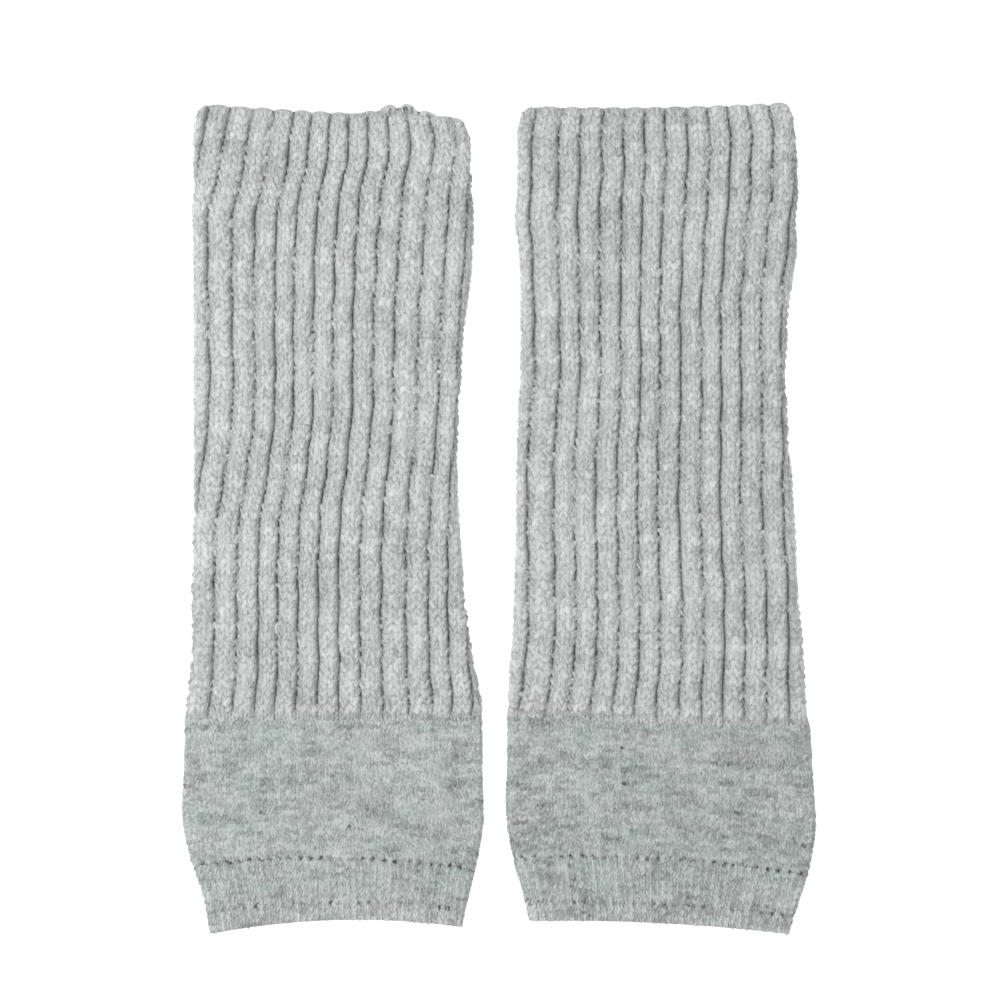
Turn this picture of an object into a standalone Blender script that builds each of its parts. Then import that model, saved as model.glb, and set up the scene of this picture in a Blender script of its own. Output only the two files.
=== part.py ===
"""A pair of knitted leg warmers lying flat on z = 0, cuffs towards -Y.

Each warmer is a flattened tube in three knits: a ribbed leg, a plain ankle band and a fine cuff.
Every piece is a closed wall of cloth, lofted through a short table of rows, and open at both ends.
"""

import math
from collections import namedtuple

import bmesh
import bpy

MM = 0.001

# Cloth, in millimetres.
RIBS = 26  # round one leg, thirteen to a face
LEG_WALL = 3.2  # over the crest of a rib
BAND_WALL = 2.0
CUFF_WALL = 2.3
LAYER_GAP = 0.6  # air between the front layer and the back one
GROOVE_DEPTH = 1.5  # furrow between two ribs
SHOULDER_DROP = 0.4  # fall from a rib's crest to its shoulder
RIM_ROLL = 1.0  # how far an open edge rounds off on each side of its wall
RIB_SCALLOP = 0.8  # a rib's end stands this far past its grooves
CORNER_DROP = 3.0  # fall of the open top at its two corners
CORNER_REACH = 5.0  # how far in from a fold that fall starts
SEAM_GAP = 0.3  # between two knits
PRESSED = 0.6  # cloth lower than this is pressed flat on the surface
FOLD_PULL = 0.7  # share of the ribs' relief that is stretched out on a side fold
SEAM_RELIEF = 0.6  # share of the relief left where the ribs run into the band

# Where a rib's four lines run across its width: groove, shoulder, crest, shoulder.
RIB_LINES = ((0.0, GROOVE_DEPTH), (0.22, SHOULDER_DROP), (0.5, 0.0), (0.78, SHOULDER_DROP))
WALL_LINES = ((0.0, 0.0), (0.5, 0.0))  # the inside of a rib is smooth: two lines only
FOLD_TURNS = (0.0, 0.33, 0.67)  # shares of a quarter fold that carry a line on a plain tube
PLAIN_STRIPS = 6  # strips across one face of a plain tube

# One row of a leg: its height on Y, its left and right folds from the warmer's middle,
# and how far its ribs lean from upright at the left fold and at the right fold.
LegRow = namedtuple("LegRow", "y left right lean_left lean_right")
# One row of a plain tube: how far down it lies, from 0 at its top to 1, and its folds.
TubeRow = namedtuple("TubeRow", "share left right")
# A course of knitting that crosses the warmer: its height at left fold, middle and right fold.
Course = namedtuple("Course", "left middle right")
# Where the back layer stands out above the front one at the open top.
Peek = namedtuple("Peek", "across reach half_width")
# One leg warmer. Its first rib starts that many ribs round from the left fold, and the widths
# of the ribs after it, across the front, are shares of an even rib.
Warmer = namedtuple(
    "Warmer",
    "side middle_x leg band cuff top band_top cuff_top hem first_rib rib_widths peek",
)

LEFT = Warmer(
    side="left",
    middle_x=-66.6,
    leg=(
        LegRow(162.0, -53.6, 52.8, 8.4, 5.8),
        LegRow(155.0, -55.4, 55.2, 8.2, 5.4),
        LegRow(143.0, -56.0, 56.0, 7.2, 4.4),
        LegRow(131.0, -56.4, 56.4, 5.0, 1.8),
        LegRow(119.0, -56.4, 56.8, 2.0, 1.4),
        LegRow(103.0, -56.0, 56.0, 1.4, 0.8),
        LegRow(75.0, -56.0, 53.0, 1.8, 1.8),
        LegRow(43.0, -56.0, 51.2, 2.2, 2.6),
        LegRow(19.0, -55.6, 50.2, -1.0, 1.6),
        LegRow(-1.0, -56.4, 51.0, -4.2, -0.2),
        LegRow(-33.0, -57.4, 54.0, -4.4, -3.6),
        LegRow(-57.0, -57.0, 57.0, -5.2, -6.0),
        LegRow(-75.0, -59.4, 60.0, -4.8, -7.8),
        LegRow(-81.0, -59.4, 60.0, -4.8, -8.4),
    ),
    band=(
        TubeRow(0.0, -59.4, 60.0),
        TubeRow(0.35, -59.8, 60.2),
        TubeRow(0.7, -60.4, 60.4),
        TubeRow(1.0, -56.6, 57.4),
    ),
    cuff=(
        TubeRow(0.0, -56.2, 57.2),
        TubeRow(0.5, -51.8, 54.4),
        TubeRow(1.0, -49.2, 52.0),
    ),
    top=Course(165.2, 161.6, 159.6),
    band_top=Course(-81.0, -81.0, -81.0),
    cuff_top=Course(-139.4, -136.2, -141.0),
    hem=Course(-166.4, -160.8, -163.6),
    first_rib=0.5,
    rib_widths=(1.15, 1.05, 1.0, 0.9, 0.95, 0.95, 0.95, 1.0, 1.0, 1.15, 1.05, 0.9, 0.9),
    peek=Peek(0.76, 5.2, 0.11),
)
RIGHT = Warmer(
    side="right",
    middle_x=64.8,
    leg=(
        LegRow(164.0, -55.8, 52.4, 0.2, 2.8),
        LegRow(157.0, -57.4, 54.2, 0.2, 2.8),
        LegRow(143.0, -57.4, 55.4, 0.0, 2.0),
        LegRow(131.0, -57.8, 55.4, -0.2, 1.6),
        LegRow(117.0, -58.6, 54.4, 0.4, 1.0),
        LegRow(107.0, -57.2, 54.6, -0.2, -0.4),
        LegRow(83.0, -56.4, 51.4, 0.0, 0.4),
        LegRow(55.0, -56.8, 50.6, 0.6, 1.6),
        LegRow(31.0, -57.8, 51.4, -0.8, 1.4),
        LegRow(7.0, -58.2, 53.4, -1.0, -0.8),
        LegRow(-33.0, -59.0, 55.4, 0.0, -0.6),
        LegRow(-57.0, -60.4, 57.8, 0.8, -3.0),
        LegRow(-75.0, -61.4, 59.2, -1.0, -4.2),
        LegRow(-81.8, -61.8, 60.0, -1.2, -4.6),
    ),
    band=(
        TubeRow(0.0, -61.8, 60.0),
        TubeRow(0.35, -61.8, 61.2),
        TubeRow(0.7, -62.2, 62.2),
        TubeRow(1.0, -59.6, 59.2),
    ),
    cuff=(
        TubeRow(0.0, -59.4, 59.0),
        TubeRow(0.5, -55.8, 55.0),
        TubeRow(1.0, -53.0, 51.4),
    ),
    top=Course(164.0, 163.6, 165.6),
    band_top=Course(-79.4, -81.8, -84.2),
    cuff_top=Course(-136.2, -136.4, -143.0),
    hem=Course(-161.2, -162.0, -166.4),
    first_rib=0.6,
    rib_widths=(1.25, 0.95, 1.0, 1.0, 0.95, 0.95, 1.0, 1.0, 0.95, 0.95, 1.0, 1.0),
    peek=None,
)

# Material name: colour, roughness.
RIB_YARN = ("heather_rib_yarn", (0.52, 0.53, 0.52), 0.95)
BAND_YARN = ("melange_band_yarn", (0.42, 0.46, 0.455), 0.95)


def course_height(course, across):
    """Height of a course at a share of the way across, on the parabola through its three heights."""
    ends = (1.0 - across) * course.left + across * course.right
    bow = course.middle - 0.5 * (course.left + course.right)
    return ends + 4.0 * bow * across * (1.0 - across)


def quarter_fold(height, wall):
    """Length of a quarter of a side fold, along the middle of its wall."""
    return 0.25 * math.pi * (height - wall)


def round_length(left, right, height, wall):
    """Length all round a flattened tube, along the middle of its wall."""
    return 2.0 * (right - left - height) + 4.0 * quarter_fold(height, wall)


def tube_section(left, right, height, wall, distance, depth):
    """Place on a flattened tube's section, as (x, z), at a distance round it and a depth into it.

    The distance starts at the left fold and runs over the front layer to the right fold.
    """
    half = 0.5 * height
    quarter = quarter_fold(height, wall)
    flat = right - left - height
    whole = 2.0 * flat + 4.0 * quarter
    distance %= whole
    if distance > whole - quarter:
        distance -= whole
    radius = half - depth
    if distance <= quarter:
        angle = 0.5 * math.pi * distance / quarter
        return left + half - radius * math.cos(angle), half + radius * math.sin(angle)
    distance -= quarter
    if distance <= flat:
        return left + half + distance, half + radius
    distance -= flat
    if distance <= 2.0 * quarter:
        angle = 0.5 * math.pi * distance / quarter
        return right - half + radius * math.sin(angle), half + radius * math.cos(angle)
    return right - half - (distance - 2.0 * quarter), half - radius


def pressed(z):
    """Cloth that nearly reaches the surface lies flat on it."""
    return 0.0 if z < PRESSED else z


def groove_places(warmer):
    """Where each groove lies round the leg, in ribs of even width, from the left fold."""
    places = [warmer.first_rib]
    for width in warmer.rib_widths:
        places.append(places[-1] + width)
    spare = RIBS + places[0] - places[-1]
    back_ribs = RIBS - len(warmer.rib_widths)
    places += [places[-1] + spare * (n + 1) / back_ribs for n in range(back_ribs)]
    return places


def leg_ring(warmer, row, share, height, wall, sink, relief=1.0):
    """Points of one ring of a ribbed leg, sunk by that much into its wall.

    The share runs from 0 at the open top to 1 at the band.
    """
    lines = WALL_LINES if sink else RIB_LINES
    places = groove_places(warmer)
    pitch = round_length(row.left, row.right, height, wall) / RIBS
    half = 0.5 * height
    ring = []
    for start, end in zip(places, places[1:]):
        for across_rib, drop in lines:
            place = start + across_rib * (end - start)
            front_share = 1.0 - abs(2.0 * place / RIBS - 1.0)
            lean = row.lean_left + (row.lean_right - row.lean_left) * front_share
            distance = place * pitch + lean
            skin_x, _ = tube_section(row.left, row.right, height, wall, distance, 0.0)
            past_face = max(row.left + half - skin_x, skin_x - row.right + half, 0.0) / half
            depth = sink + drop * relief * (1.0 - FOLD_PULL * past_face)
            x, z = tube_section(row.left, row.right, height, wall, distance, depth)
            across = (x - row.left) / (row.right - row.left)
            y = course_height(warmer.top, across) * (1.0 - share)
            y += course_height(warmer.band_top, across) * share
            if share == 0.0:
                y += top_shape(warmer, row, x, z < half, drop / GROOVE_DEPTH)
                y -= 0.0 if 0.0 < sink < wall else RIM_ROLL
            ring.append((x, y, z if sink else pressed(z)))
    return ring


def top_shape(warmer, row, x, on_back, grooved):
    """How far the open top stands past its course: rib ends, round corners and the back's peek."""
    past_reach = max(1.0 - min(x - row.left, row.right - x) / CORNER_REACH, 0.0)
    rise = RIB_SCALLOP * (1.0 - grooved) - CORNER_DROP * past_reach**2
    if warmer.peek and on_back:
        across = (x - row.left) / (row.right - row.left)
        offset = (across - warmer.peek.across) / warmer.peek.half_width
        rise += warmer.peek.reach * math.exp(-offset * offset)
    return rise


def plain_distances(left, right, height, wall):
    """Distances of the lines round a plain tube: close together on the folds, even on the faces."""
    quarter = quarter_fold(height, wall)
    flat = right - left - height
    rising = [quarter * share for share in FOLD_TURNS]
    strips = [quarter + flat * n / PLAIN_STRIPS for n in range(PLAIN_STRIPS + 1)]
    falling = [2.0 * quarter + flat - d for d in reversed(rising[1:])]
    front = rising + strips + falling
    half_round = 2.0 * quarter + flat
    return front + [half_round + d for d in front]


def plain_ring(row, height, wall, sink, upper, lower, shift):
    """Points of one ring of a plain tube, sunk into its wall, between its upper and lower courses."""
    ring = []
    for distance in plain_distances(row.left, row.right, height, wall):
        x, z = tube_section(row.left, row.right, height, wall, distance, sink)
        across = (x - row.left) / (row.right - row.left)
        y = course_height(upper, across) * (1.0 - row.share) + course_height(lower, across) * row.share
        ring.append((x, y + shift, z if sink else pressed(z)))
    return ring


def join_rings(bm, first, second):
    """Faces between two rings of vertices, where one may have twice as many as the other."""
    count = max(len(first), len(second))
    for n in range(count):
        here = [ring[n * len(ring) // count] for ring in (first, second)]
        after = [ring[(n + 1) * len(ring) // count % len(ring)] for ring in (first, second)]
        corners = (here[0], after[0], after[1], here[1])
        bm.faces.new(list(dict.fromkeys(corners)))


def loft(name, rings, material, parent):
    """One closed wall of cloth: each ring joins the next, and the last joins the first."""
    bm = bmesh.new()
    loops = [[bm.verts.new([c * MM for c in point]) for point in ring] for ring in rings]
    for n, loop in enumerate(loops):
        join_rings(bm, loop, loops[(n + 1) % len(loops)])
    bmesh.ops.triangulate(bm, faces=bm.faces[:])
    mesh = bpy.data.meshes.new(name)
    bm.to_mesh(mesh)
    bm.free()
    mesh.materials.append(material)
    piece = bpy.data.objects.new(name, mesh)
    piece.parent = parent
    return piece


def yarn(name, colour, roughness):
    """A matt wool-blend yarn."""
    material = bpy.data.materials.new(name)
    material.use_nodes = True
    shader = material.node_tree.nodes["Principled BSDF"]
    shader.inputs["Base Color"].default_value = (*colour, 1.0)
    shader.inputs["Roughness"].default_value = roughness
    shader.inputs["Metallic"].default_value = 0.0
    return material


def make_leg(warmer, material, parent):
    """The ribbed leg: thick ribs with narrow grooves, thinner where they run into the band."""
    seam_wall = 0.5 * (LEG_WALL + BAND_WALL)
    top, foot = warmer.leg[0].y, warmer.leg[-1].y
    outer, inner = [], []
    for row in warmer.leg:
        share = (top - row.y) / (top - foot)
        at_seam = share == 1.0
        wall = seam_wall if at_seam else LEG_WALL
        height = 2.0 * wall + LAYER_GAP
        outer.append(leg_ring(warmer, row, share, height, wall, 0.0, SEAM_RELIEF if at_seam else 1.0))
        inner.append(leg_ring(warmer, row, share, height, wall, wall))
    lip = leg_ring(warmer, warmer.leg[0], 0.0, 2.0 * LEG_WALL + LAYER_GAP, LEG_WALL, 0.5 * LEG_WALL)
    return loft("leg_" + warmer.side, outer[::-1] + [lip] + inner, material, parent)


def make_plain_tube(name, rows, wall, courses, is_hemmed, material, parent):
    """A plain tube between two courses, a seam gap below the upper one. A hem has a rounded lip."""
    height = 2.0 * wall + LAYER_GAP
    outer, inner = [], []
    for row in rows:
        shift = RIM_ROLL if is_hemmed and row.share == 1.0 else -SEAM_GAP * (1.0 - row.share)
        outer.append(plain_ring(row, height, wall, 0.0, *courses, shift))
        inner.append(plain_ring(row, height, wall, wall, *courses, shift))
    lip = [plain_ring(rows[-1], height, wall, 0.5 * wall, *courses, 0.0)] if is_hemmed else []
    return loft(name, outer[::-1] + inner + lip, material, parent)


def make_warmer(warmer, rib_yarn, band_yarn, collection):
    """One leg warmer, its three knits hung on an empty at its middle."""
    middle = bpy.data.objects.new(warmer.side + "_warmer", None)
    middle.location = (warmer.middle_x * MM, 0.0, 0.0)
    band_courses = (warmer.band_top, warmer.cuff_top)
    cuff_courses = (warmer.cuff_top, warmer.hem)
    leg = make_leg(warmer, rib_yarn, middle)
    band = make_plain_tube(
        "ankle_band_" + warmer.side, warmer.band, BAND_WALL, band_courses, False, band_yarn, middle
    )
    cuff = make_plain_tube(
        "cuff_" + warmer.side, warmer.cuff, CUFF_WALL, cuff_courses, True, band_yarn, middle
    )
    for thing in (middle, leg, band, cuff):
        collection.objects.link(thing)


for old in list(bpy.data.objects):
    bpy.data.objects.remove(old)
pair = bpy.data.collections.new("knitted_leg_warmers")
bpy.context.scene.collection.children.link(pair)
rib_material = yarn(*RIB_YARN)
band_material = yarn(*BAND_YARN)
for one in (LEFT, RIGHT):
    make_warmer(one, rib_material, band_material, pair)
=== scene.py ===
"""A pair of heather grey ribbed leg warmers, lying flat side by side with their cuffs towards -Y."""

import math
from collections import namedtuple
from functools import partial

import bmesh
import bpy
import numpy as np
from mathutils import Matrix, Vector


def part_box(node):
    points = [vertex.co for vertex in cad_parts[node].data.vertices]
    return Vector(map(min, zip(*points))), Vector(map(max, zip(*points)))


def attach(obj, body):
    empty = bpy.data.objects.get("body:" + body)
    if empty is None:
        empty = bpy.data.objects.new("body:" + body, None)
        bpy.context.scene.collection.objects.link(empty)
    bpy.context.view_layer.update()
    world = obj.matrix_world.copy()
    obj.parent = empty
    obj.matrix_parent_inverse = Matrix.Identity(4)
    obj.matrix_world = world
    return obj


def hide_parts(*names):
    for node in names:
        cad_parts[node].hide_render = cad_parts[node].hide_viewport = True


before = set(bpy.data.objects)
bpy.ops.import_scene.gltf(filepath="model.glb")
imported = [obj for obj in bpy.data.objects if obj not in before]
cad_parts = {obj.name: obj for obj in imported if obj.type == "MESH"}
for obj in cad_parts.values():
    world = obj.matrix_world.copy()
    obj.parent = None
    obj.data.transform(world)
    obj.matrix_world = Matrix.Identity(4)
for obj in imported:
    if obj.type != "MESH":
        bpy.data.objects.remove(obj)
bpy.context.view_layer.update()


# ------------------------------------------------------------------ The ribbed legs
# Each leg is a tube knitted in the round from soft heather grey wool blend, 26 ribs round and two
# wales to a rib. The ribs stand up as rolls, with the cloth sunk away in a furrow between them.
# The tube lies pressed flat: a front layer and a back layer that meet at two side folds.

MM = 0.001
RIBS = 26
WALES = 2 * RIBS
LEG_COURSES = 76
LAYER_GAP = 0.6  # air between the front layer and the back one
CORNER_DROP = 3.0  # fall of the open top at its two corners
CORNER_REACH = 5.0  # how far in from a fold that fall starts
SCALLOP = 1.2  # how far the open top dips between two ribs
SIDES = ("left", "right")

# Folds, and the lean of the wales there, at a share of the way down the tube. In millimetres.
Row = namedtuple("Row", "share left right lean_left lean_right")
# A course that crosses the tube: its height at the left fold, in the middle and at the right fold.
Course = namedtuple("Course", "left middle right")
# The back layer where it stands out above the front one at the open top.
Peek = namedtuple("Peek", "across reach half_width")
# A soft ridge, or a trough where it rises by less than nothing, pressed into the front layer.
Swell = namedtuple("Swell", "x y long wide turn rise")
# One knitted tube. Its walls are pairs of a share down the tube and the cloth's thickness there.
Tube = namedtuple("Tube", "node middle rows upper lower walls ribs swells peek")

LEG_WALLS = ((0.0, 3.2), (0.955, 3.2), (1.0, 2.6))
LEG_HEIGHTS = {
    "left": (162, 155, 143, 131, 119, 103, 75, 43, 19, -1, -33, -57, -75, -81),
    "right": (164, 157, 143, 131, 117, 107, 83, 55, 31, 7, -33, -57, -75, -81.8),
}
LEG_FOLDS = {
    "left": (
        (-53.6, 52.8, 8.4, 5.8), (-55.4, 55.2, 8.2, 5.4), (-56.0, 56.0, 7.2, 4.4),
        (-56.4, 56.4, 5.0, 1.8), (-56.4, 56.8, 2.0, 1.4), (-56.0, 56.0, 1.4, 0.8),
        (-56.0, 53.0, 1.8, 1.8), (-56.0, 51.2, 2.2, 2.6), (-55.6, 50.2, -1.0, 1.6),
        (-56.4, 51.0, -4.2, -0.2), (-57.4, 54.0, -4.4, -3.6), (-57.0, 57.0, -5.2, -6.0),
        (-59.4, 60.0, -4.8, -7.8), (-59.4, 60.0, -4.8, -8.4),
    ),
    "right": (
        (-55.8, 52.4, 0.2, 2.8), (-57.4, 54.2, 0.2, 2.8), (-57.4, 55.4, 0.0, 2.0),
        (-57.8, 55.4, -0.2, 1.6), (-58.6, 54.4, 0.4, 1.0), (-57.2, 54.6, -0.2, -0.4),
        (-56.4, 51.4, 0.0, 0.4), (-56.8, 50.6, 0.6, 1.6), (-57.8, 51.4, -0.8, 1.4),
        (-58.2, 53.4, -1.0, -0.8), (-59.0, 55.4, 0.0, -0.6), (-60.4, 57.8, 0.8, -3.0),
        (-61.4, 59.2, -1.0, -4.2), (-61.8, 60.0, -1.2, -4.6),
    ),
}
TOP = {"left": Course(165.2, 161.6, 159.6), "right": Course(164.0, 163.6, 165.6)}
BAND_TOP = {"left": Course(-81.0, -81.0, -81.0), "right": Course(-79.4, -81.8, -84.2)}
PEEK = {"left": Peek(0.76, 5.2, 0.11), "right": Peek(0.5, 0.0, 0.1)}
# The first rib's start and the widths of the ribs after it, in even ribs from the left fold.
RIB_WIDTHS = {
    "left": (0.5, 1.15, 1.05, 1.0, 0.9, 0.95, 0.95, 0.95, 1.0, 1.0, 1.15, 1.05, 0.9, 0.9),
    "right": (0.6, 1.25, 0.95, 1.0, 1.0, 0.95, 0.95, 1.0, 1.0, 0.95, 0.95, 1.0, 1.0),
}
SWELLS = {
    "left": (
        Swell(11.0, 99.0, 20.0, 12.0, 80.0, 0.8), Swell(0.0, 31.0, 26.0, 16.0, 95.0, 0.9),
        Swell(-12.0, -24.0, 24.0, 12.0, 70.0, 0.7), Swell(-27.0, 116.0, 16.0, 10.0, 100.0, 0.7),
        Swell(-29.0, 37.0, 22.0, 9.0, 85.0, -0.5), Swell(34.0, 137.0, 14.0, 9.0, 75.0, -0.6),
        Swell(24.0, 60.0, 30.0, 8.0, 92.0, -0.4), Swell(10.0, -112.0, 12.0, 26.0, 84.0, 0.4),
    ),
    "right": (
        Swell(-10.0, -4.0, 22.0, 11.0, 95.0, 0.8), Swell(27.0, 83.0, 26.0, 13.0, 85.0, 0.9),
        Swell(3.0, 97.0, 18.0, 9.0, 100.0, -0.5), Swell(0.0, 40.0, 16.0, 9.0, 70.0, -0.5),
        Swell(-30.0, 28.0, 24.0, 9.0, 92.0, -0.5), Swell(-34.0, 120.0, 24.0, 12.0, 88.0, 0.6),
        Swell(38.0, -40.0, 30.0, 12.0, 96.0, -0.5), Swell(-14.0, -118.0, 10.0, 24.0, 84.0, 0.3),
    ),
}


def middle_of(side):
    """The line on which a warmer is centred: the middle of its ankle band, in millimetres."""
    low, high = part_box("ankle_band_" + side)
    return 0.5 * (low.x + high.x) / MM


def rib_starts(widths):
    """Where each rib starts, in even ribs round from the left fold. The back ribs share the rest."""
    front = list(np.cumsum(widths))
    back = RIBS + 1 - len(front)
    even = (RIBS + front[0] - front[-1]) / back
    return np.array(front + [front[-1] + even * (n + 1) for n in range(back)])


def leg_tube(side):
    """The ribbed leg of one side."""
    heights = LEG_HEIGHTS[side]
    length = heights[0] - heights[-1]
    rows = [Row((heights[0] - y) / length, *folds) for y, folds in zip(heights, LEG_FOLDS[side])]
    ribs = rib_starts(RIB_WIDTHS[side])
    return Tube(
        "leg_" + side, middle_of(side), rows, TOP[side], BAND_TOP[side], LEG_WALLS, ribs, SWELLS[side],
        PEEK[side],
    )


def smooth_curve(knots, values, at):
    """Values between knots, on a smooth curve through them."""
    slopes = np.gradient(values, knots)
    n = np.clip(np.searchsorted(knots, at) - 1, 0, len(knots) - 2)
    span = knots[n + 1] - knots[n]
    t = (at - knots[n]) / span
    rise = values[n] * (1 + 2 * t) * (1 - t) ** 2 + values[n + 1] * t * t * (3 - 2 * t)
    return rise + span * (slopes[n] * t * (1 - t) ** 2 - slopes[n + 1] * t * t * (1 - t))


def course_height(course, across):
    """Height of a course at a share of the way across, on the parabola through its three heights."""
    bow = course.middle - 0.5 * (course.left + course.right)
    return (1 - across) * course.left + across * course.right + 4 * bow * across * (1 - across)


def swelling(tube, x, y):
    """How far the front layer is raised or pressed at a place, in millimetres."""
    rise = np.zeros_like(x)
    for swell in tube.swells:
        turn = math.radians(swell.turn)
        along = (x - swell.x) * math.cos(turn) + (y - swell.y) * math.sin(turn)
        aside = (y - swell.y) * math.cos(turn) - (x - swell.x) * math.sin(turn)
        rise += swell.rise * np.exp(-((along / swell.long) ** 2) - (aside / swell.wide) ** 2)
    return rise


def on_tube(tube, rib, share, depth, lift=0.0):
    """Points on a flattened tube, in metres: ribs round it, a share down it and a depth into its cloth.

    A lift moves a point along the tube, up from its course.
    """
    knots = np.array([row.share for row in tube.rows])
    down = np.clip(share, 0.0, 1.0)
    left, right, lean_left, lean_right = (
        smooth_curve(knots, np.array(column), down) for column in list(zip(*tube.rows))[1:]
    )
    # The wales wander a little as they run down the tube.
    turns = 2 * math.pi * rib / RIBS
    wander = 0.035 * np.sin(61 * share + 2 * turns) + 0.012 * np.sin(167 * share - 21 * turns)
    rib = rib + wander + 0.014 * np.sin(331 * share + 33 * turns)
    wall = np.interp(down, *zip(*tube.walls))
    height = 2 * wall + LAYER_GAP
    half = 0.5 * height
    quarter = 0.25 * math.pi * (height - wall)
    flat = right - left - height
    whole = 2 * flat + 4 * quarter
    place = np.interp(np.mod(rib, RIBS), np.arange(RIBS + 1), tube.ribs)
    front_share = 1 - np.abs(2 * np.mod(place, RIBS) / RIBS - 1)
    distance = place * whole / RIBS + lean_left + (lean_right - lean_left) * front_share
    distance = np.mod(distance + quarter, whole) - quarter
    quarters = np.clip(distance, -quarter, quarter) + np.clip(distance - quarter - flat, 0, 2 * quarter)
    turn = 0.5 * math.pi * quarters / quarter
    x = left + half - (half - depth) * np.cos(turn)
    x += np.clip(distance - quarter, 0, flat) - np.clip(distance - 3 * quarter - flat, 0, flat)
    z = half + (half - depth) * np.sin(turn)
    across = np.clip((x - left) / (right - left), 0, 1)
    y = course_height(tube.upper, across) * (1 - share) + course_height(tube.lower, across) * share + lift
    if tube.peek:
        out = tube.peek.reach * np.exp(-(((across - tube.peek.across) / tube.peek.half_width) ** 2))
        out *= z < half
        y += out * np.exp(-10 * down)
        past_corner = np.clip(1 - np.minimum(x - left, right - x) / CORNER_REACH, 0, 1)
        y -= CORNER_DROP * past_corner**2 * np.exp(-25 * down)
        # Each rib ends in a round tip. The tips are longer where the back layer stands out.
        off_crest = np.abs(2 * np.mod(rib, 1.0) - 1)
        y -= (SCALLOP + 0.5 * out) * off_crest**3 * np.exp(-60 * down)
    z *= 1 + swelling(tube, x, y) / height
    return np.stack([x + tube.middle, y, np.maximum(z, 0.02)], axis=-1) * MM


GROUND = 0.74  # depth of the cloth between the strands, below the outside of the ribs
CROWN = 0.65  # how far a rib falls from its crest to its sides, before the furrow
FURROW = 2.0  # how much deeper the furrow between two ribs lies
RIB_DEPTH = 0.6  # the strands on a rib lie above this depth
SIDE_DEPTH = 1.4  # and those on its sides above this one


def rib_fade(rib, share):
    """One where the ribs stand, falling to 0.1 where they run out, each furrow at its own height."""
    run_out = 0.984 + 0.006 * np.sin(2.4 * np.rint(rib))
    return 1 - 0.9 * np.clip((share - run_out) / 0.012, 0, 1)


def rib_drop(rib, share):
    """How far the outside of a rib has fallen from its crest, in millimetres."""
    across = np.abs(2 * np.mod(rib, 1.0) - 1)
    return rib_fade(rib, share) * (CROWN * across**2 + FURROW * across**10)


def painted_depth_shade(depth):
    """Painted shade: how much darker a strand or the cloth is painted as it lies deeper, on a rib, more
    down its side and most in a furrow, where real shade falls.
    """
    down_side = np.clip(depth - RIB_DEPTH, 0, 4)
    in_furrow = np.clip(depth - SIDE_DEPTH, 0, 4)
    return 5.0 * np.clip(depth, 0, RIB_DEPTH) + 0.6 * down_side + 1.9 * in_furrow


def cloth_wall(name, tube, columns, steps, ground, hem, material, packed=1.0):
    """A closed wall of cloth on a tube: down its inside, round its open edge and up its outside.

    Packed above 1, its rows crowd towards the other end.
    """
    outside, lip, inside = steps
    rows = outside + lip + inside + 1
    bm = bmesh.new()
    bmesh.ops.create_grid(bm, x_segments=columns, y_segments=rows, size=0.5)
    places = np.array([v.co for v in bm.verts])
    rib = (places[:, 0] + 0.5) * RIBS
    step = np.rint((places[:, 1] + 0.5) * rows)
    up_outside = np.clip(step / outside, 0, 1) ** packed
    down_inside = np.clip((step - outside - lip) / inside, 0, 1)
    round_edge = math.pi * np.clip((step - outside) / lip, 0, 1)
    is_last = step == rows
    share = np.where(is_last, 0.0, up_outside - down_inside)
    share = share if hem else 1 - share
    wall = np.interp(share, *zip(*tube.walls))
    hollow = ground(rib, share)
    skin = np.minimum(hollow, wall - 0.4)
    # Painted shade: the cloth is painted darker the deeper it lies between the strands and in the furrows,
    # and darker again round its open edge and on its inside, under the front layer.
    painted_shades = np.where(round_edge > 0.9, -2.2, -0.4 - painted_depth_shade(hollow))
    depth = skin + (wall - skin) * 0.5 * (1 - np.cos(round_edge))
    depth = np.where(is_last, skin, depth)
    lift = (-0.15 if hem else 0.5) * np.sin(round_edge)
    shade = bm.verts.layers.float.new("shade")
    for vert, place, value in zip(bm.verts, on_tube(tube, rib, share, depth, lift), painted_shades):
        vert.co = place
        vert[shade] = value
    bmesh.ops.remove_doubles(bm, verts=bm.verts[:], dist=0.00001)
    bmesh.ops.recalc_face_normals(bm, faces=bm.faces[:])
    mesh = bpy.data.meshes.new(name)
    bm.to_mesh(mesh)
    bm.free()
    mesh.shade_smooth()
    mesh.materials.append(material)
    piece = bpy.data.objects.new(name, mesh)
    bpy.context.scene.collection.objects.link(piece)
    return piece


def stitches(name, wales, courses):
    """A joined mesh of stitches in rows: two strands each, every strand a spindle from y = -1 to 1.

    A crease down its sides keeps the shading of its upper half soft, like a loosely spun yarn's.
    """
    bm = bmesh.new()
    bm.loops.layers.uv.new("strand")
    upright = Matrix.Rotation(math.radians(-90), 4, "X")
    bmesh.ops.create_uvsphere(bm, u_segments=4, v_segments=3, radius=1, matrix=upright, calc_uvs=True)
    for face in bm.faces:
        face.smooth = True
    for edge in bm.edges:
        edge.smooth = max(abs(vert.co.z) for vert in edge.verts) > 0.01
    mesh = bpy.data.meshes.new(name)
    bm.to_mesh(mesh)
    bm.free()
    piece = bpy.data.objects.new(name, mesh)
    bpy.context.scene.collection.objects.link(piece)
    for count, step in ((2 * wales, (3, 0, 0)), (courses, (0, 3, 0))):
        row = piece.modifiers.new("row", "ARRAY")
        row.count = count
        row.use_relative_offset = False
        row.use_constant_offset = True
        row.constant_offset_displace = step
    joined = bpy.data.meshes.new_from_object(piece.evaluated_get(bpy.context.evaluated_depsgraph_get()))
    piece.modifiers.clear()
    piece.data = joined
    return piece


# How one strand of a stitch lies, and how close it stays to the middle of its rib. In millimetres.
Strand = namedtuple("Strand", "half_length girth thick spread lean sink dip gather")
# How a tube's yarn and stitches vary, by course and by wale.
Lot = namedtuple("Lot", "shade wander closed chance")
RIB_WIDTH = 8.6


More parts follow.
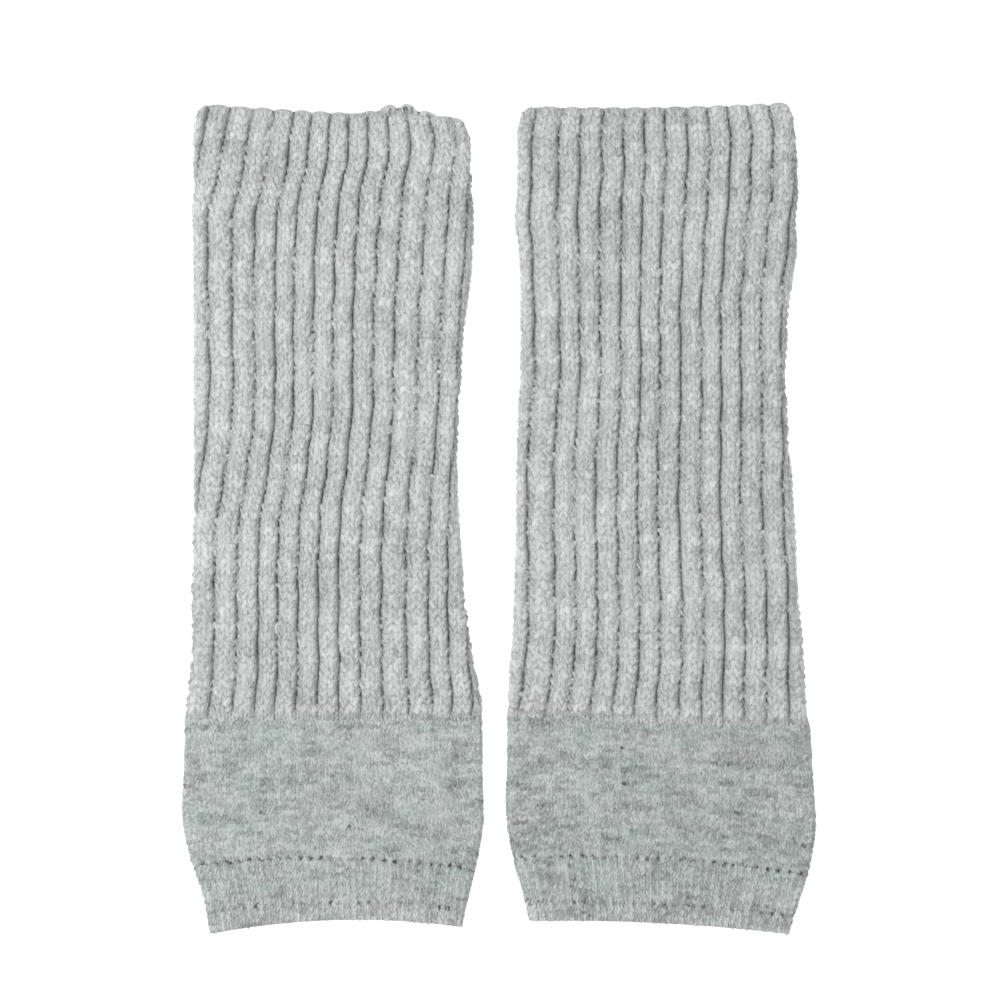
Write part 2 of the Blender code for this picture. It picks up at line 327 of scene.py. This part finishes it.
def running_mean(values, count, axis):
    """A smooth version of chance values that closes on itself, as uneven as the values were."""
    spread = range(-(count // 2), count - count // 2)
    return sum(np.roll(values, n, axis=axis) for n in spread) / math.sqrt(count)


def yarn_lot(courses, wales, seed, heather, striped=0.4, drawn=0.0):
    """Chance values for one tube: its yarn's shade, its wales' wander and how its furrows close.

    Striped yarn varies along the courses, heather from stitch to stitch, and drawn knitting
    from wale to wale.
    """
    chance = np.random.default_rng(seed)
    streaks = running_mean(chance.standard_normal((courses, wales)), 7, 1)
    blots = running_mean(chance.standard_normal((courses, wales)), 3, 1)
    streaks = striped * streaks + heather * (0.7 * chance.standard_normal((courses, wales)) + 0.6 * blots)
    streaks = streaks + drawn * running_mean(chance.standard_normal((courses, wales)), 9, 0)
    wander = running_mean(running_mean(chance.standard_normal((courses, RIBS)), 9, 0), 2, 1)
    closed = 0.8 * running_mean(chance.standard_normal((courses, RIBS)), 6, 0)
    closed = closed + 0.5 * chance.standard_normal((courses, RIBS))
    closed = closed + 0.5 * chance.standard_normal(RIBS)
    return Lot(streaks, np.repeat(wander, wales // RIBS, axis=1), closed, chance)


def lay_stitches(
    piece, tube, wales, courses, strand, drop, lot, material,
    closing=0.0, slip=0.0, top=-9.0, hem=-9.0, pale=0.0, painted_ridge_light=0.0,
):
    """Lays a joined mesh of stitches on a tube, in its own wales and courses.

    Strands bend into the cloth where they pass a line so far below the tube's top or above its hem.
    Closing moves the outer strands of a rib over its furrow, slip draws back those on its first side,
    and the ridge light paints one strand of a stitch lighter and the other darker, painted light and
    painted shade as on a raised wale lit from one side.
    """
    mesh = piece.data
    points = np.zeros(len(mesh.vertices) * 3, np.float32)
    mesh.vertices.foreach_get("co", points)
    one = points.reshape(len(wales) * len(courses) * 2, -1, 3)[0].astype(float)
    across, along, out = (one - one.mean(axis=0)).T
    shape = (len(courses), len(wales), 2, 1)

    def chance(amount):
        return amount * lot.chance.standard_normal(shape)

    def by_stitch(values):
        return values[courses][:, wales].reshape(len(courses), len(wales), 1, 1)

    side = np.array([-1.0, 1.0]).reshape(1, 1, 2, 1)
    all_courses, all_wales = lot.shade.shape
    wale = (wales.reshape(1, -1, 1, 1) + 0.5) * RIBS / all_wales
    row = courses.reshape(-1, 1, 1, 1)
    # The two outer strands of a rib lean over the furrow beside them, or draw back from it.
    strand_rib = wale + 0.25 * side * RIBS / all_wales
    furrow = np.rint(strand_rib)
    is_beside = np.abs(strand_rib - furrow) < 0.2
    is_first = is_beside & (side < 0)
    closed = np.clip(lot.closed[row, furrow.astype(int) % RIBS], -1.5, 2.0)
    girth = strand.girth * (1 + chance(0.10)) * (1 - slip * is_first)
    lean = strand.lean * (1 + chance(0.2))
    aside = side * (strand.spread + lean * along) + chance(0.14 * strand.girth)
    aside = aside + 0.2 * by_stitch(lot.wander) - slip * is_first
    aside = aside + closing * is_beside * (chance(0.5) + 0.4 * side * along)
    up = strand.half_length * along * (1 + chance(0.08)) + chance(0.15 * strand.half_length)
    rib = wale + aside / RIB_WIDTH
    middle = np.floor(wale) + 0.5
    fade = rib_fade(wale, (row + 0.5) / all_courses)
    gather = 1 - (1 - strand.gather) * fade
    rib = middle + (rib - middle) * gather + side * closing * fade * is_beside * closed / RIB_WIDTH
    share = (row + 0.5) / all_courses + 0 * rib
    depth = strand.sink + strand.dip * along**2 + chance(0.09 * strand.girth)
    bridging = closing * is_beside * np.clip(along, 0, 1)
    depth = depth - 0.5 * bridging
    tilt = np.arctan2(lean, strand.half_length) * side
    rib = rib + girth * across * np.cos(tilt) / RIB_WIDTH
    up = up - girth * across * np.sin(tilt)
    length = tube.upper.middle - tube.lower.middle
    depth = depth + drop(rib, share - up / length) - strand.thick * out
    uneven = chance(0.3)
    over = np.clip(up - (share * length - top - uneven), 0, None)
    under = np.clip(-up - ((1 - share) * length - hem - uneven), 0, None)
    placed = on_tube(tube, rib, share, depth + over + under, up - 0.8 * over + 0.8 * under)
    mesh.vertices.foreach_set("co", placed.astype(np.float32).ravel())
    # Each strand's shade is the yarn's own heather tone with painted shade laid on: darker the deeper the
    # strand lies, darker at the upper ends of the outer strands that lean over a furrow, plus the ridge
    # light's painted light and shade.
    heather = np.clip(by_stitch(lot.shade) + chance(0.8), -6.0, 1.6)
    shade = (pale + painted_ridge_light * side + heather - painted_depth_shade(depth) - 3.0 * bridging).ravel().astype(np.float32)
    mesh.attributes.new("shade", "FLOAT", "POINT").data.foreach_set("value", shade)
    mesh.materials.append(material)
    mesh.update()


class Wire:
    """A wire from a node's socket in a material. Sums written on wires add Math nodes."""

    def __init__(self, tree, socket=None):
        self.tree = tree
        self.socket = socket

    def node(self, kind, settings=None, inputs=None, output=0):
        """Adds a node, sets it, feeds its sockets, and gives the wire from one of its outputs."""
        made = self.tree.nodes.new(kind)
        for name, value in (settings or {}).items():
            setattr(made, name, value)
        for name, value in (inputs or {}).items():
            if isinstance(value, Wire):
                self.tree.links.new(value.socket, made.inputs[name])
            else:
                made.inputs[name].default_value = value
        return Wire(self.tree, made.outputs[output])

    def maths(self, operation, first, second=0.0):
        return self.node("ShaderNodeMath", {"operation": operation}, {0: first, 1: second})

    def __add__(self, other):
        return self.maths("ADD", self, other)

    def __sub__(self, other):
        return self.maths("SUBTRACT", self, other)

    def __rsub__(self, other):
        return self.maths("SUBTRACT", other, self)

    def __mul__(self, other):
        return self.maths("MULTIPLY", self, other)

    __radd__ = __add__
    __rmul__ = __mul__


def wool(name, dark, light, tint, patch, mottle, fleck):
    """Soft heathered wool: fibres of two shades plied together, with tinted patches along the courses."""
    material = bpy.data.materials.new(name)
    material.use_nodes = True
    tree = material.node_tree
    shader = tree.nodes["Principled BSDF"]
    start = Wire(tree)
    here = start.node("ShaderNodeTexCoord", output="Object")
    strand = start.node("ShaderNodeUVMap", {"uv_map": "strand"})
    shade = start.node("ShaderNodeAttribute", {"attribute_name": "shade"}, output="Fac")
    split = strand.node("ShaderNodeSeparateXYZ", inputs={0: strand})
    around = split
    along = Wire(tree, split.socket.node.outputs[1])
    fibre_place = strand.node(
        "ShaderNodeCombineXYZ", inputs={0: around * 5.0, 1: along * 1.6, 2: shade * 9.0}
    )
    fibre = start.node("ShaderNodeTexNoise", inputs={"Vector": fibre_place, "Scale": 1.0, "Detail": 3.0})
    stretched = start.node("ShaderNodeMapping", inputs={"Vector": here, "Scale": patch})
    patches = start.node(
        "ShaderNodeTexNoise", inputs={"Vector": stretched, "Scale": 1.0, "Detail": 5.0, "Roughness": 0.65}
    )
    strands_place = start.node("ShaderNodeMapping", inputs={"Vector": here, "Scale": (1600, 750, 1600)})
    wisps = start.node("ShaderNodeTexNoise", inputs={"Vector": strands_place, "Scale": 1.0, "Detail": 2.0})
    # The shade attribute carries the yarn's own tone together with the painted shade and painted light laid
    # on the strands and the cloth.
    mix = 0.80 + 0.07 * shade + (fibre - 0.5) * 0.5 + (patches - 0.5) * mottle + (wisps - 0.5) * fleck
    mix = mix.node("ShaderNodeClamp", inputs={0: mix})
    colour = start.node(
        "ShaderNodeMix", {"data_type": "RGBA"}, {0: mix, 6: (*dark, 1), 7: (*light, 1)}, output=2
    )
    second = start.node("ShaderNodeTexNoise", inputs={"Vector": stretched, "Scale": 0.42, "Detail": 4.0})
    tinted = second.node("ShaderNodeClamp", inputs={0: (second - 0.38) * 4.0})
    colour = start.node(
        "ShaderNodeMix", {"data_type": "RGBA", "blend_type": "MULTIPLY"},
        {0: tinted, 6: colour, 7: (*tint, 1)}, output=2,
    )
    ply = (around * 2.0 + along * 1.6) * (2 * math.pi)
    relief = ply.maths("SINE", ply) * 0.3 + fibre * 0.8 + wisps * 1.5
    bump = start.node("ShaderNodeBump", inputs={"Height": relief, "Strength": 0.5, "Distance": 0.00035})
    tree.links.new(colour.socket, shader.inputs["Base Color"])
    tree.links.new(bump.socket, shader.inputs["Normal"])
    shader.inputs["Roughness"].default_value = 0.92
    shader.inputs["Specular IOR Level"].default_value = 0.2
    shader.inputs["Sheen Weight"].default_value = 0.25
    shader.inputs["Sheen Roughness"].default_value = 0.5
    return material


rib_wool = wool(
    "rib_wool", (0.05, 0.051, 0.05), (0.93, 0.943, 0.938), (0.96, 0.985, 0.98), (38, 66, 38), 0.5, 0.85
)
# The yarn where two knits meet: the last courses above the ankle band, and the hem.
blend_wool = wool(
    "blend_wool", (0.05, 0.05, 0.05), (0.785, 0.805, 0.80), (0.94, 0.985, 0.98), (100, 220, 100), 0.8, 0.8
)
LEG_STRAND = Strand(
    half_length=2.3, girth=1.2, thick=0.90, spread=1.12, lean=1.0, sink=0.62, dip=0.25, gather=0.88
)
RIM_STRAND = Strand(
    half_length=2.2, girth=1.35, thick=0.5, spread=1.05, lean=0.4, sink=0.55, dip=0.2, gather=1.0
)
# The last few fine courses, where the ribs have run out and the ankle band takes over.
FINE_WALES = 78
LAST_STRAND = Strand(
    half_length=1.5, girth=0.74, thick=0.5, spread=0.72, lean=0.5, sink=0.5, dip=0.15, gather=1.0
)


BAR_DEPTH = 2.1
BAR_HALF_LENGTH = 1.1


def lay_bars(piece, tube, lot, material):
    """Lays a joined mesh of strands as bars of yarn that cross the furrows, one to a course."""
    mesh = piece.data
    points = np.zeros(len(mesh.vertices) * 3, np.float32)
    mesh.vertices.foreach_get("co", points)
    one = points.reshape(LEG_COURSES * RIBS, -1, 3)[0].astype(float)
    thick, along, out = (one - one.mean(axis=0)).T
    along = -along
    shape = (LEG_COURSES, RIBS, 1)

    def chance(amount):
        return amount * lot.chance.standard_normal(shape)

    closed = np.clip(lot.closed, -1.5, 2.0).reshape(shape)
    depth = BAR_DEPTH - 0.3 * closed + 0.3 * along**2 - 0.3 * out + chance(0.25)
    rib = np.arange(RIBS).reshape(1, -1, 1) + (BAR_HALF_LENGTH * along + chance(0.1)) / RIB_WIDTH
    share = (np.arange(LEG_COURSES).reshape(-1, 1, 1) + 0.17) / LEG_COURSES + 0 * rib
    placed = on_tube(tube, rib, share, depth, 0.9 * thick * (1 + chance(0.15)) + chance(0.3))
    mesh.vertices.foreach_set("co", placed.astype(np.float32).ravel())
    # Painted shade: the bars are painted darker the deeper they lie in the furrow and lighter where it
    # closes, with a random tone on top.
    shade = (-2.8 * depth + 0.5 * closed + chance(0.6)).ravel().astype(np.float32)
    mesh.attributes.new("shade", "FLOAT", "POINT").data.foreach_set("value", shade)
    mesh.materials.append(material)
    mesh.update()


def fuzz(name, tube, count, seed, drop, material, rim=0.0):
    """Loose fibres in low arches off the knitting, all round a tube, some of them along its top edge."""
    piece = stitches(name, count // 2, 1)
    mesh = piece.data
    points = np.zeros(len(mesh.vertices) * 3, np.float32)
    mesh.vertices.foreach_get("co", points)
    one = points.reshape(2 * (count // 2), -1, 3)[0].astype(float)
    thick, along, out = (one - one.mean(axis=0)).T
    random = np.random.default_rng(seed)
    shape = (2 * (count // 2), 1)
    half_length = random.uniform(0.8, 2.4, shape)
    turn = random.normal(0, 0.7, shape)
    bend = random.normal(0, 0.35, shape)
    arch = random.uniform(0.1, 1.1, shape)
    run = half_length * along
    aside = half_length * bend * (along**2 - 0.5) + 0.1 * thick
    rib = random.uniform(0, RIBS, shape)
    at_rim = random.uniform(0, 1, shape) < rim
    share = np.where(at_rim, 0.002, random.uniform(0.01, 0.99, shape)) + 0 * along
    depth = drop(rib, share) + 0.25 - arch * (1 - along**2) - 0.07 * out
    across = run * np.sin(turn) + aside * np.cos(turn)
    up = run * np.cos(turn) - aside * np.sin(turn)
    placed = on_tube(tube, rib + across / RIB_WIDTH, share, depth, up)
    mesh.vertices.foreach_set("co", placed.astype(np.float32).ravel())
    shade = (random.normal(0.7, 0.8, shape) + 0 * along).ravel().astype(np.float32)
    mesh.attributes.new("shade", "FLOAT", "POINT").data.foreach_set("value", shade)
    mesh.materials.append(material)
    mesh.update()
    return piece


def leg_ground(rib, share):
    """Depth of the cloth between the strands of a leg."""
    return GROUND + rib_drop(rib, share)


RIM_DEPTH = 2.1


def rim_depth(rib, share):
    """Depth at which the strands lie on the inside of a leg, round its open top."""
    return RIM_DEPTH + 0 * rib


for side in SIDES:
    lot = yarn_lot(LEG_COURSES, WALES, 11 if side == "left" else 12, heather=0.35, striped=0.15)
    tube = leg_tube(side)
    cloth = cloth_wall("leg_%s_cloth" % side, tube, 12 * RIBS, (40, 4, 12), leg_ground, False, rib_wool)
    layers = []
    for layer, first in (("front", 0), ("back", RIBS)):
        knit = stitches("leg_%s_%s_stitches" % (side, layer), RIBS, LEG_COURSES - 1)
        wales = np.arange(first, first + RIBS)
        lay_stitches(
            knit, tube, wales, np.arange(LEG_COURSES - 1), LEG_STRAND, rib_drop, lot, rib_wool,
            closing=0.5, slip=0.22, top=-0.2, pale=-0.3,
        )
        layers.append(knit)
    # Deep inside the open top, the rim strands get much painted depth shade; pale=2.5 lifts part of it.
    rim = stitches("leg_%s_rim_stitches" % side, WALES, 3)
    lay_stitches(
        rim, tube, np.arange(WALES), np.arange(3), RIM_STRAND, rim_depth, lot, rib_wool, top=0.3, pale=2.5
    )
    last = stitches("leg_%s_last_stitches" % side, FINE_WALES, 2)
    fine_lot = yarn_lot(2 * LEG_COURSES, FINE_WALES, 13 if side == "left" else 14, heather=0.8)
    last_courses = np.arange(2 * LEG_COURSES - 2, 2 * LEG_COURSES)
    lay_stitches(
        last, tube, np.arange(FINE_WALES), last_courses, LAST_STRAND, rib_drop, fine_lot, blend_wool,
        pale=-0.6,
    )
    bars = stitches("leg_%s_furrow_bars" % side, RIBS // 2, LEG_COURSES)
    lay_bars(bars, tube, lot, rib_wool)
    loose = fuzz("leg_%s_fuzz" % side, tube, 3000, 41 if side == "left" else 42, rib_drop, rib_wool, 0.14)
    layers += [rim, last, bars, loose]
    for piece in [cloth] + layers:
        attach(piece, "root")
    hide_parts("leg_" + side)


# ------------------------------------------------------------------ The ankle bands
# Below the ribs the same tube goes on in plain knitting of a thinner, cooler grey melange yarn.
# It is knitted straight on from the ribs, three fine wales to each rib, and its loops lie close.

BAND_COURSES = 34
BAND_LENGTH = 56
FINE_GROUND = 0.48  # depth of the cloth between the fine strands of a band or a cuff
CUFF_TOP = {"left": Course(-139.4, -136.2, -141.0), "right": Course(-136.2, -136.4, -143.0)}
BAND_ROWS = {
    "left": (Row(0.0, -59.4, 60.0, -4.8, -8.4), Row(0.35, -59.8, 60.2, -4.8, -8.0),
             Row(0.7, -60.4, 60.4, -4.4, -7.0), Row(1.0, -56.6, 57.4, -4.0, -6.0)),
    "right": (Row(0.0, -61.8, 60.0, -1.2, -4.6), Row(0.35, -61.8, 61.2, -1.2, -4.6),
              Row(0.7, -62.2, 62.2, -1.2, -4.2), Row(1.0, -59.6, 59.2, -1.2, -3.8)),
}
band_wool = wool(
    "band_wool", (0.05, 0.051, 0.05), (0.68, 0.712, 0.702), (0.915, 0.985, 0.97), (110, 240, 110), 0.85, 1.0
)
BAND_STRAND = Strand(
    half_length=1.4, girth=0.80, thick=0.50, spread=0.72, lean=0.42, sink=0.38, dip=0.14, gather=1.0
)
# Painted light and shade by side: the left band is painted a little lighter and the right one darker, as
# the right lies farther from the key light.
PAINTED_SIDE_LIGHT = {"left": 0.2, "right": -0.4}
# Dark neps, small knots of fibre caught in the yarn: in ribs round, a share down the band and a radius.
NEPS = {"left": ((7.4, 0.765, 0.65),), "right": ((4.35, 0.2, 0.75), (4.5, 0.46, 0.95))}
EYELET_DEPTH = 2.7
EYELET_HALF_WIDTH = 0.75
EYELET_HALF_HEIGHT = 0.6
# How strong the eyelets are at shares of the way across the front.
EYELETS = {
    "left": ((0.0, 0.05, 0.1, 0.4, 0.6, 0.75, 1.0), (0.8, 1.3, 1.0, 1.0, 0.8, 1.0, 1.0)),
    "right": ((0.0, 0.2, 0.5, 0.56, 0.65, 0.72, 0.8, 1.0), (0.9, 0.6, 0.6, 1.0, 0.7, 0.9, 1.1, 1.1)),
}


def eyelet_depth(side, rib, below):
    """How deep the small uneven holes of the eyelet row go, at a place so far below the row."""
    hole = np.rint(2 * rib)
    off = (2 * rib - hole) * RIB_WIDTH / 2 + 0.2 * np.sin(3.7 * hole)
    under = below + 0.35 * np.sin(7.9 * hole)
    strength = np.interp(np.clip(rib / 13.0, 0, 1), *EYELETS[side]) * (1 + 0.45 * np.sin(5.3 * hole))
    hollow = np.exp(-((off / EYELET_HALF_WIDTH) ** 4) - (under / EYELET_HALF_HEIGHT) ** 2)
    return EYELET_DEPTH * strength * hollow


def band_drop(side, rib, share):
    """How far the outside of an ankle band has sunk: nothing but for the eyelets at its lower end."""
    return eyelet_depth(side, rib, (share - 1) * BAND_LENGTH)


def band_ground(side, rib, share):
    """Depth of the cloth between the strands of an ankle band."""
    return FINE_GROUND + band_drop(side, rib, share)


def neps(name, tube, places, material):
    """Small dark knots of fibre, half sunk in the outside of a tube."""
    bm = bmesh.new()
    shade = bm.verts.layers.float.new("shade")
    for rib, share, radius in places:
        middle = on_tube(tube, np.array(rib), np.array(share), -0.2)
        place = Matrix.Translation(middle)
        bmesh.ops.create_icosphere(bm, subdivisions=1, radius=radius * MM, matrix=place)
    for vert in bm.verts:
        vert[shade] = -10.0
    mesh = bpy.data.meshes.new(name)
    bm.to_mesh(mesh)
    bm.free()
    mesh.shade_smooth()
    mesh.materials.append(material)
    piece = bpy.data.objects.new(name, mesh)
    bpy.context.scene.collection.objects.link(piece)
    return piece


for side in SIDES:
    lot = yarn_lot(BAND_COURSES, FINE_WALES, 21 if side == "left" else 22, heather=1.3, drawn=0.5)
    tube = Tube(
        "ankle_band_" + side, middle_of(side), BAND_ROWS[side], BAND_TOP[side], CUFF_TOP[side],
        ((0.0, 2.5), (0.12, 2.0), (1.0, 2.1)), rib_starts(RIB_WIDTHS[side]), SWELLS[side], None,
    )
    drop = partial(band_drop, side)
    ground = partial(band_ground, side)
    cloth = cloth_wall("ankle_band_%s_cloth" % side, tube, 468, (20, 4, 6), ground, False, band_wool, 1.8)
    knit = stitches("ankle_band_%s_stitches" % side, FINE_WALES, BAND_COURSES)
    lay_stitches(
        knit, tube, np.arange(FINE_WALES), np.arange(BAND_COURSES), BAND_STRAND, drop, lot, band_wool,
        pale=PAINTED_SIDE_LIGHT[side],
    )
    loose = fuzz("ankle_band_%s_fuzz" % side, tube, 700, 43 if side == "left" else 44, drop, band_wool)
    knots = neps("ankle_band_%s_neps" % side, tube, NEPS[side], band_wool)
    for piece in (cloth, knit, loose, knots):
        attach(piece, "root")
    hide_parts("ankle_band_" + side)


# ------------------------------------------------------------------ The cuffs
# A close double-knit welt that grips the ankle. It starts under a row of small eyelets where the
# stitches change over. Its fine upright ribs down to the folded hem are painted light and shade: one strand
# of each stitch lighter, the other darker.

CUFF_COURSES = 18
CUFF_LENGTH = 27
WELT_COURSE = 13  # the course where the knitting doubles back for the hem
HEM = {"left": Course(-166.4, -160.8, -163.6), "right": Course(-161.2, -162.0, -166.4)}
CUFF_ROWS = {
    "left": (Row(0.0, -56.2, 57.2, -4.0, -6.0), Row(0.5, -51.8, 54.4, -3.6, -5.0),
             Row(1.0, -49.2, 52.0, -3.2, -4.4)),
    "right": (Row(0.0, -59.4, 59.0, -1.2, -3.8), Row(0.5, -55.8, 55.0, -1.2, -3.4),
              Row(1.0, -53.0, 51.4, -1.2, -3.0)),
}
CUFF_STRAND = Strand(
    half_length=1.2, girth=0.68, thick=0.55, spread=0.56, lean=0.22, sink=0.38, dip=0.12, gather=1.0
)
HEM_STRAND = Strand(
    half_length=1.2, girth=0.64, thick=0.50, spread=0.54, lean=0.10, sink=0.38, dip=0.08, gather=1.0
)


def cuff_drop(side, rib, share):
    """How far the outside of a cuff has sunk: at the eyelets, and in the row where the hem doubles back."""
    welt = (share - WELT_COURSE / CUFF_COURSES) * CUFF_LENGTH
    return eyelet_depth(side, rib, share * CUFF_LENGTH) + 0.8 * eyelet_depth("left", rib + 0.25, welt)


def cuff_ground(side, rib, share):
    """Depth of the cloth between the strands of a cuff."""
    return FINE_GROUND + cuff_drop(side, rib, share)


for side in SIDES:
    lot = yarn_lot(CUFF_COURSES, FINE_WALES, 31 if side == "left" else 32, heather=1.1, drawn=1.1)
    tube = Tube(
        "cuff_" + side, middle_of(side), CUFF_ROWS[side], CUFF_TOP[side], HEM[side],
        ((0.0, 2.1), (0.15, 2.3), (1.0, 2.3)), rib_starts(RIB_WIDTHS[side]), SWELLS[side], None,
    )
    drop = partial(cuff_drop, side)
    ground = partial(cuff_ground, side)
    cloth = cloth_wall("cuff_%s_cloth" % side, tube, 468, (18, 4, 6), ground, True, band_wool, 1.4)
    upper, lower = np.arange(WELT_COURSE), np.arange(WELT_COURSE, CUFF_COURSES)
    knit = stitches("cuff_%s_stitches" % side, FINE_WALES, len(upper))
    lay_stitches(
        knit, tube, np.arange(FINE_WALES), upper, CUFF_STRAND, drop, lot, band_wool, pale=0.6,
        painted_ridge_light=1.0,
    )
    edge = stitches("cuff_%s_hem_stitches" % side, FINE_WALES, len(lower))
    lay_stitches(
        edge, tube, np.arange(FINE_WALES), lower, HEM_STRAND, drop, lot, blend_wool, hem=-0.5,
        pale=-0.2, painted_ridge_light=1.0,
    )
    loose = fuzz("cuff_%s_fuzz" % side, tube, 300, 45 if side == "left" else 46, drop, band_wool)
    for piece in (cloth, knit, edge, loose):
        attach(piece, "root")
    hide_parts("cuff_" + side)


# ------------------------------------------------------------------ The table, the light and the camera
# The pair lies on a plain white table, seen straight down. A wide soft light comes from the left,
# and a weaker one from the right fills the shadows.

bm = bmesh.new()
bmesh.ops.create_grid(bm, x_segments=1, y_segments=1, size=1.5)
table_mesh = bpy.data.meshes.new("floor")
bm.to_mesh(table_mesh)
bm.free()
table_top = bpy.data.objects.new("floor", table_mesh)
bpy.context.scene.collection.objects.link(table_top)
white = bpy.data.materials.new("white_table")
white.use_nodes = True
white_shader = white.node_tree.nodes["Principled BSDF"]
white_shader.inputs["Base Color"].default_value = (0.9, 0.9, 0.9, 1)
white_shader.inputs["Roughness"].default_value = 0.8
white_shader.inputs["Emission Color"].default_value = (1, 1, 1, 1)
white_shader.inputs["Emission Strength"].default_value = 0.6
table_mesh.materials.append(white)


def soft_light(name, place, size, power):
    """A square soft light that faces the middle of the pair."""
    lamp = bpy.data.lights.new(name, "AREA")
    lamp.size = size
    lamp.energy = power
    light = bpy.data.objects.new(name, lamp)
    light.location = place
    light.rotation_euler = (-Vector(place)).to_track_quat("-Z", "Y").to_euler()
    bpy.context.scene.collection.objects.link(light)


soft_light("key_light", (-0.9, 0.2, 0.9), 0.6, 8.0)
soft_light("fill_light", (0.9, -0.4, 1.6), 1.2, 6.0)
world = bpy.data.worlds.new("studio")
world.use_nodes = True
world.node_tree.nodes["Background"].inputs["Color"].default_value = (1, 1, 1, 1)
world.node_tree.nodes["Background"].inputs["Strength"].default_value = 0.56
bpy.context.scene.world = world
bpy.context.scene.view_settings.view_transform = "Standard"

FRAME_WIDTH = 0.4  # of the table in view, at the height of the side folds
FOLD_HEIGHT = 0.0035
lens = bpy.data.cameras.new("camera")
lens.lens = 100
camera = bpy.data.objects.new("camera", lens)
camera.location = (0.0004, 0.007, FOLD_HEIGHT + FRAME_WIDTH * lens.lens / lens.sensor_width)
bpy.context.scene.collection.objects.link(camera)
bpy.context.scene.camera = camera
